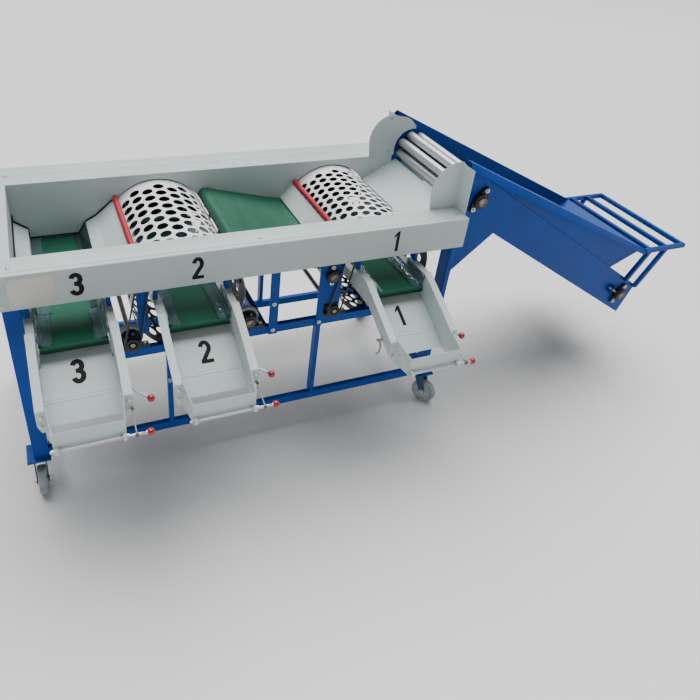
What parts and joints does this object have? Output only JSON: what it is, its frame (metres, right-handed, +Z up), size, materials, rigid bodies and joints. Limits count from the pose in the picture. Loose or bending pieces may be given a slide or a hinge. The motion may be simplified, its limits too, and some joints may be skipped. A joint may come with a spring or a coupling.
{
  "type": "potato sorting machine",
  "caption": "Wheeled produce sorter: roller elevator feeds perforated drums and a lift belt in a sheet-metal trough, with discharge belts to bagging chutes.",
  "frame": {"origin": "on the floor under the middle of the trough", "axes": "+X along the machine to the feed elevator, +Y to the back (chutes face -Y), +Z up"},
  "size_m": [3.4479, 1.3258, 1.2909],
  "materials": {
    "blue_paint": "satin",
    "pale_paint": "satin",
    "drum_white": "satin",
    "green_belt": "matte",
    "red_cover": "gloss",
    "red_knob": "gloss",
    "zinc": "satin",
    "wheel_rubber": "matte",
    "clear_skirt": "gloss",
    "bearing_iron": "satin",
    "motor_paint": "satin",
    "chain_steel": "satin"
  },
  "bodies": {
    "base": {"frame_legs": "blue_paint", "frame_rails": "blue_paint", "mounting_plates": "blue_paint", "caster_plates": "blue_paint", "front_panel": "pale_paint", "back_panel": "pale_paint", "end_panel": "pale_paint", "inner_walls": "pale_paint", "slide_plates": "pale_paint", "head_cheeks": "pale_paint", "bearing_housings": "bearing_iron", "lift_belt": "green_belt", "discharge_belts": "green_belt", "conveyor_frames": "pale_paint", "belt_skirts": "clear_skirt", "chute_trays": "pale_paint", "chute_boxes": "pale_paint", "elevator_plates": "blue_paint", "hopper_walls": "blue_paint", "sack_rack": "blue_paint", "roller_chain": "zinc", "gear_motors": "motor_paint", "drive_chains": "chain_steel", "fasteners": "zinc"},
    "drum_small": {"drum_small": "drum_white"},
    "drum_large": {"drum_large": "drum_white"},
    "trunnion_1l": {"trunnion_shaft_1l": "wheel_rubber"},
    "trunnion_1r": {"trunnion_shaft_1r": "wheel_rubber"},
    "trunnion_2l": {"trunnion_shaft_2l": "wheel_rubber"},
    "trunnion_2r": {"trunnion_shaft_2r": "wheel_rubber"},
    "ejector_1": {"ejector_roller_1": "red_cover"},
    "ejector_2": {"ejector_roller_2": "red_cover"},
    "lift_low": {"lift_roller_low": "zinc"},
    "lift_high": {"lift_roller_high": "zinc"},
    "discharge_drive": {"discharge_drive_shaft": "zinc"},
    "nose_1": {"nose_roller_1": "zinc"},
    "nose_2": {"nose_roller_2": "zinc"},
    "nose_3": {"nose_roller_3": "zinc"},
    "elevator_head": {"elevator_head_shaft": "zinc"},
    "elevator_tail": {"elevator_tail_shaft": "zinc"},
    "flap_1": {"chute_flap_1": "zinc", "flap_knob_1": "red_knob"},
    "clamp_1": {"bag_clamp_1": "zinc", "clamp_knob_1": "red_knob"},
    "flap_2": {"chute_flap_2": "zinc", "flap_knob_2": "red_knob"},
    "clamp_2": {"bag_clamp_2": "zinc", "clamp_knob_2": "red_knob"},
    "flap_3": {"chute_flap_3": "zinc", "flap_knob_3": "red_knob"},
    "clamp_3": {"bag_clamp_3": "zinc", "clamp_knob_3": "red_knob"},
    "caster_fork_fl": {"caster_fork_fl": "zinc"},
    "caster_wheel_fl": {"caster_wheel_fl": "wheel_rubber"},
    "caster_fork_fr": {"caster_fork_fr": "zinc"},
    "caster_wheel_fr": {"caster_wheel_fr": "wheel_rubber"},
    "caster_fork_bl": {"caster_fork_bl": "zinc"},
    "caster_wheel_bl": {"caster_wheel_bl": "wheel_rubber"},
    "caster_fork_br": {"caster_fork_br": "zinc"},
    "caster_wheel_br": {"caster_wheel_br": "wheel_rubber"}
  },
  "joints": [
    {"name": "drum_small_spin", "type": "hinge", "parent": "base", "child": "drum_small", "pos_m": [0.582, -0.023, 0.817], "axis": [0, 1, 0], "continuous": true},
    {"name": "drum_large_spin", "type": "hinge", "parent": "base", "child": "drum_large", "pos_m": [-0.261, -0.023, 0.817], "axis": [0, 1, 0], "continuous": true},
    {"name": "trunnion_1l_spin", "type": "hinge", "parent": "base", "child": "trunnion_1l", "pos_m": [0.34587, -0.023, 0.682], "axis": [0, 1, 0], "continuous": true},
    {"name": "trunnion_1r_spin", "type": "hinge", "parent": "base", "child": "trunnion_1r", "pos_m": [0.81813, -0.023, 0.682], "axis": [0, 1, 0], "continuous": true},
    {"name": "trunnion_2l_spin", "type": "hinge", "parent": "base", "child": "trunnion_2l", "pos_m": [-0.49713, -0.023, 0.682], "axis": [0, 1, 0], "continuous": true},
    {"name": "trunnion_2r_spin", "type": "hinge", "parent": "base", "child": "trunnion_2r", "pos_m": [-0.02487, -0.023, 0.682], "axis": [0, 1, 0], "continuous": true},
    {"name": "ejector_1_spin", "type": "hinge", "parent": "base", "child": "ejector_1", "pos_m": [0.40368, -0.029, 0.97311], "axis": [0, 1, 0], "continuous": true},
    {"name": "ejector_2_spin", "type": "hinge", "parent": "base", "child": "ejector_2", "pos_m": [-0.43932, -0.029, 0.97311], "axis": [0, 1, 0], "continuous": true},
    {"name": "lift_low_spin", "type": "hinge", "parent": "base", "child": "lift_low", "pos_m": [0.31797, -0.029, 0.86689], "axis": [0, 1, 0], "continuous": true},
    {"name": "lift_high_spin", "type": "hinge", "parent": "base", "child": "lift_high", "pos_m": [-0.04388, -0.029, 0.95692], "axis": [0, 1, 0], "continuous": true},
    {"name": "discharge_drive_spin", "type": "hinge", "parent": "base", "child": "discharge_drive", "pos_m": [0, 0.352, 0.7867], "axis": [1, 0, 0], "continuous": true},
    {"name": "nose_1_spin", "type": "hinge", "parent": "base", "child": "nose_1", "pos_m": [0.582, -0.508, 0.8007], "axis": [1, 0, 0], "continuous": true},
    {"name": "nose_2_spin", "type": "hinge", "parent": "base", "child": "nose_2", "pos_m": [-0.261, -0.508, 0.8007], "axis": [1, 0, 0], "continuous": true},
    {"name": "nose_3_spin", "type": "hinge", "parent": "base", "child": "nose_3", "pos_m": [-0.704, -0.508, 0.8007], "axis": [1, 0, 0], "continuous": true},
    {"name": "elevator_head_spin", "type": "hinge", "parent": "base", "child": "elevator_head", "pos_m": [1.026, -0.031, 1.102], "axis": [0, 1, 0], "continuous": true},
    {"name": "elevator_tail_spin", "type": "hinge", "parent": "base", "child": "elevator_tail", "pos_m": [2.14517, -0.031, 0.41348], "axis": [0, 1, 0], "continuous": true},
    {"name": "flap_1_hinge", "type": "hinge", "parent": "base", "child": "flap_1", "pos_m": [0.582, -0.65114, 0.68308], "axis": [1, 0, 0], "range_deg": [-50, 0]},
    {"name": "clamp_1_hinge", "type": "hinge", "parent": "base", "child": "clamp_1", "pos_m": [0.582, -0.86288, 0.66902], "axis": [1, 0, 0], "range_deg": [0, 90]},
    {"name": "flap_2_hinge", "type": "hinge", "parent": "base", "child": "flap_2", "pos_m": [-0.261, -0.65114, 0.68308], "axis": [1, 0, 0], "range_deg": [-50, 0]},
    {"name": "clamp_2_hinge", "type": "hinge", "parent": "base", "child": "clamp_2", "pos_m": [-0.261, -0.86288, 0.66902], "axis": [1, 0, 0], "range_deg": [0, 90]},
    {"name": "flap_3_hinge", "type": "hinge", "parent": "base", "child": "flap_3", "pos_m": [-0.704, -0.65114, 0.68308], "axis": [1, 0, 0], "range_deg": [-50, 0]},
    {"name": "clamp_3_hinge", "type": "hinge", "parent": "base", "child": "clamp_3", "pos_m": [-0.704, -0.86288, 0.66902], "axis": [1, 0, 0], "range_deg": [0, 90]},
    {"name": "caster_fl_swivel", "type": "hinge", "parent": "base", "child": "caster_fork_fl", "pos_m": [-0.9, -0.366, 0.15], "axis": [0, 0, 1], "continuous": true},
    {"name": "caster_fl_roll", "type": "hinge", "parent": "caster_fork_fl", "child": "caster_wheel_fl", "pos_m": [-0.9, -0.408, 0.0625], "axis": [-1, 0, 0], "continuous": true},
    {"name": "caster_fr_swivel", "type": "hinge", "parent": "base", "child": "caster_fork_fr", "pos_m": [0.9075, -0.361, 0.15], "axis": [0, 0, 1], "continuous": true},
    {"name": "caster_fr_roll", "type": "hinge", "parent": "caster_fork_fr", "child": "caster_wheel_fr", "pos_m": [0.92786, -0.39773, 0.0625], "axis": [-0.8746, -0.4848, 0], "continuous": true},
    {"name": "caster_bl_swivel", "type": "hinge", "parent": "base", "child": "caster_fork_bl", "pos_m": [-0.9, 0.349, 0.15], "axis": [0, 0, 1], "continuous": true},
    {"name": "caster_bl_roll", "type": "hinge", "parent": "caster_fork_bl", "child": "caster_wheel_bl", "pos_m": [-0.90729, 0.39036, 0.0625], "axis": [0.9848, 0.1736, 0], "continuous": true},
    {"name": "caster_br_swivel", "type": "hinge", "parent": "base", "child": "caster_fork_br", "pos_m": [0.9075, 0.34, 0.15], "axis": [0, 0, 1], "continuous": true},
    {"name": "caster_br_roll", "type": "hinge", "parent": "caster_fork_br", "child": "caster_wheel_br", "pos_m": [0.94697, 0.35436, 0.0625], "axis": [0.342, -0.9397, 0], "continuous": true}
  ],
  "couplings": [
    {"joint": "trunnion_1l_spin", "follows": "drum_small_spin", "ratio": -4.4668},
    {"joint": "trunnion_1r_spin", "follows": "drum_small_spin", "ratio": -4.4668},
    {"joint": "trunnion_2l_spin", "follows": "drum_large_spin", "ratio": -4.4668},
    {"joint": "trunnion_2r_spin", "follows": "drum_large_spin", "ratio": -4.4668},
    {"joint": "ejector_1_spin", "follows": "drum_small_spin", "ratio": -6.2039},
    {"joint": "ejector_2_spin", "follows": "drum_large_spin", "ratio": -6.2039},
    {"joint": "lift_low_spin", "follows": "drum_small_spin", "ratio": -4.4668},
    {"joint": "lift_high_spin", "follows": "drum_small_spin", "ratio": -4.4668},
    {"joint": "nose_1_spin", "follows": "discharge_drive_spin", "ratio": 2.12},
    {"joint": "nose_2_spin", "follows": "discharge_drive_spin", "ratio": 2.12},
    {"joint": "nose_3_spin", "follows": "discharge_drive_spin", "ratio": 2.12},
    {"joint": "elevator_tail_spin", "follows": "elevator_head_spin", "ratio": 1}
  ]
}
